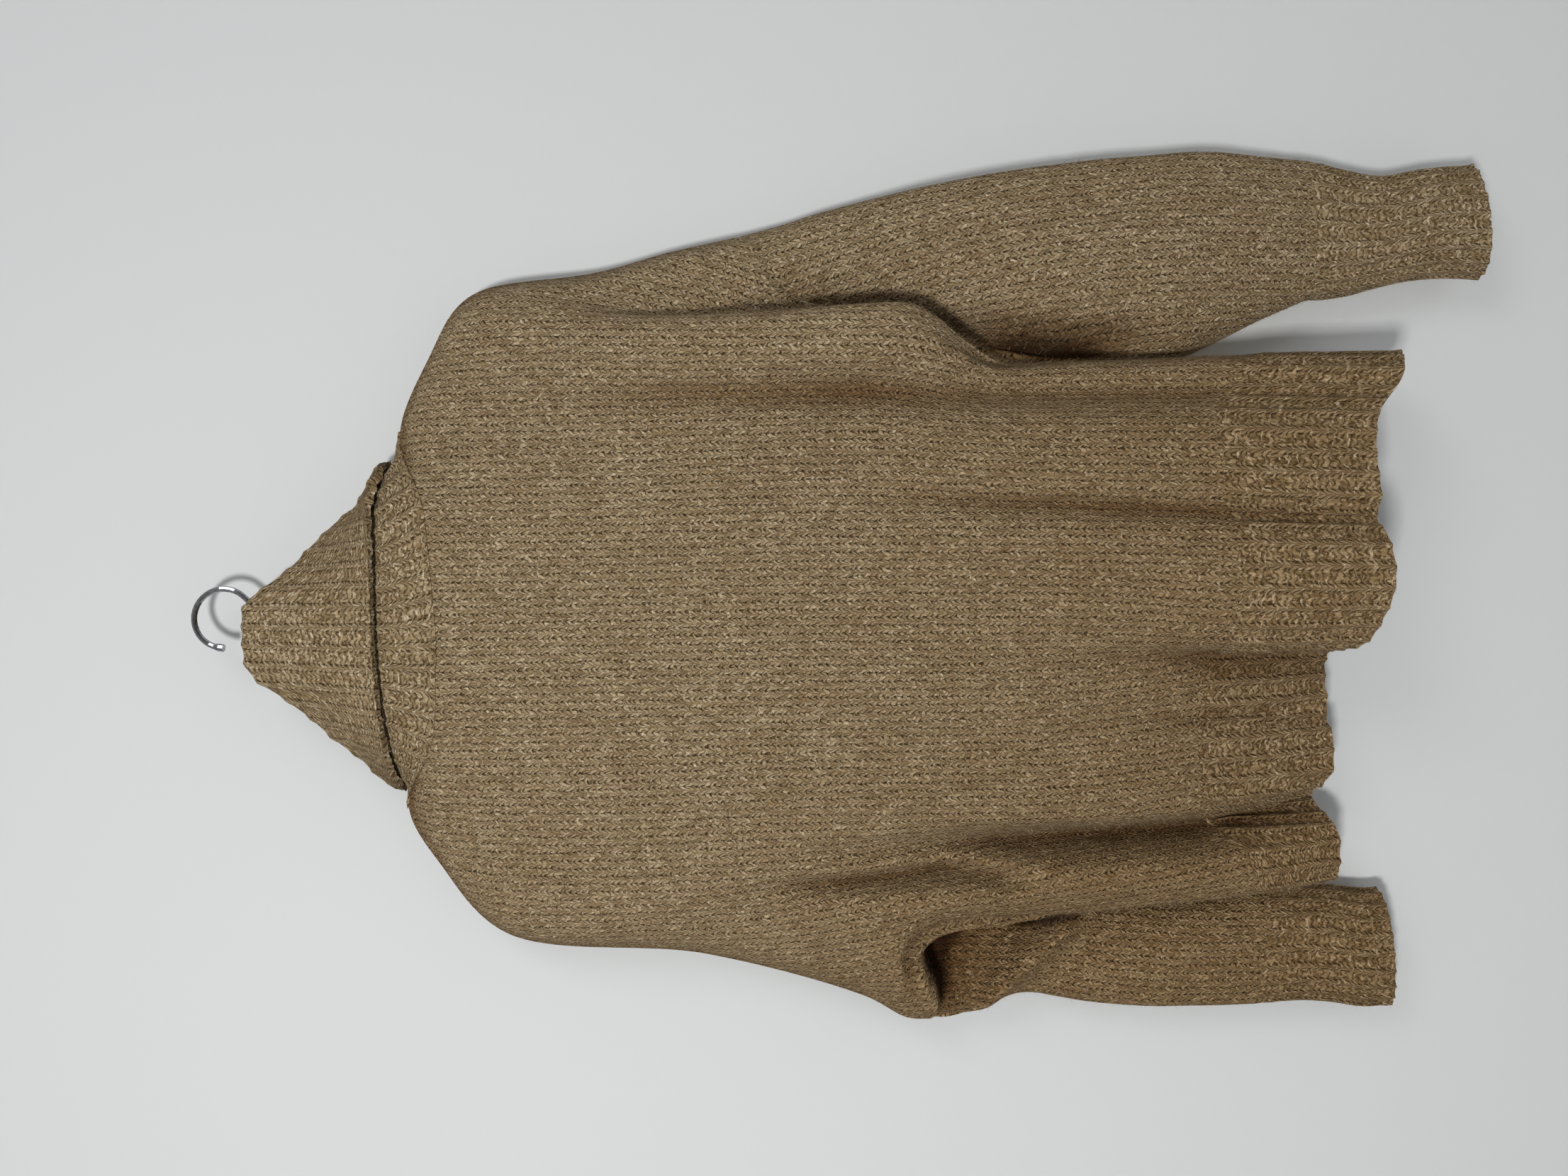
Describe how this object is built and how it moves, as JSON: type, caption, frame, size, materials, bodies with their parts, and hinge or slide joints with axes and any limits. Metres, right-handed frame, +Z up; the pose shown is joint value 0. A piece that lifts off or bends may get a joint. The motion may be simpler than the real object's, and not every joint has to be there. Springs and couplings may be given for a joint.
{
  "type": "turtleneck sweater on a hanger",
  "caption": "Oversized drop-shoulder turtleneck sweater in chunky wool, hanging on a hanger with a wire hook.",
  "frame": {"origin": "inner top of the hanger's hook, where it rests on what it hangs from", "axes": "+X to the viewer's right across the garment's front, +Y from its front to its back, +Z up along the hook's stem"},
  "size_m": [0.5848, 0.1121, 0.8702],
  "materials": {
    "front_panel": "matt heather wool, plain knit",
    "back_panel": "matt heather wool, plain knit",
    "front_hem_rib": "matt heather wool, rib knit",
    "back_hem_rib": "matt heather wool, rib knit",
    "left_sleeve": "matt heather wool, plain knit",
    "right_sleeve": "matt heather wool, plain knit",
    "left_cuff": "matt heather wool, rib knit",
    "right_cuff": "matt heather wool, rib knit",
    "collar": "matt heather wool, rib knit",
    "hanger_arms": "plain smooth bar",
    "hanger_hook": "polished wire"
  },
  "bodies": {
    "root": {"front_panel": "front_panel", "back_panel": "back_panel", "front_hem_rib": "front_hem_rib", "back_hem_rib": "back_hem_rib", "left_sleeve": "left_sleeve", "right_sleeve": "right_sleeve", "left_cuff": "left_cuff", "right_cuff": "right_cuff", "collar": "collar", "hanger_arms": "hanger_arms", "hanger_hook": "hanger_hook"}
  },
  "joints": []
}
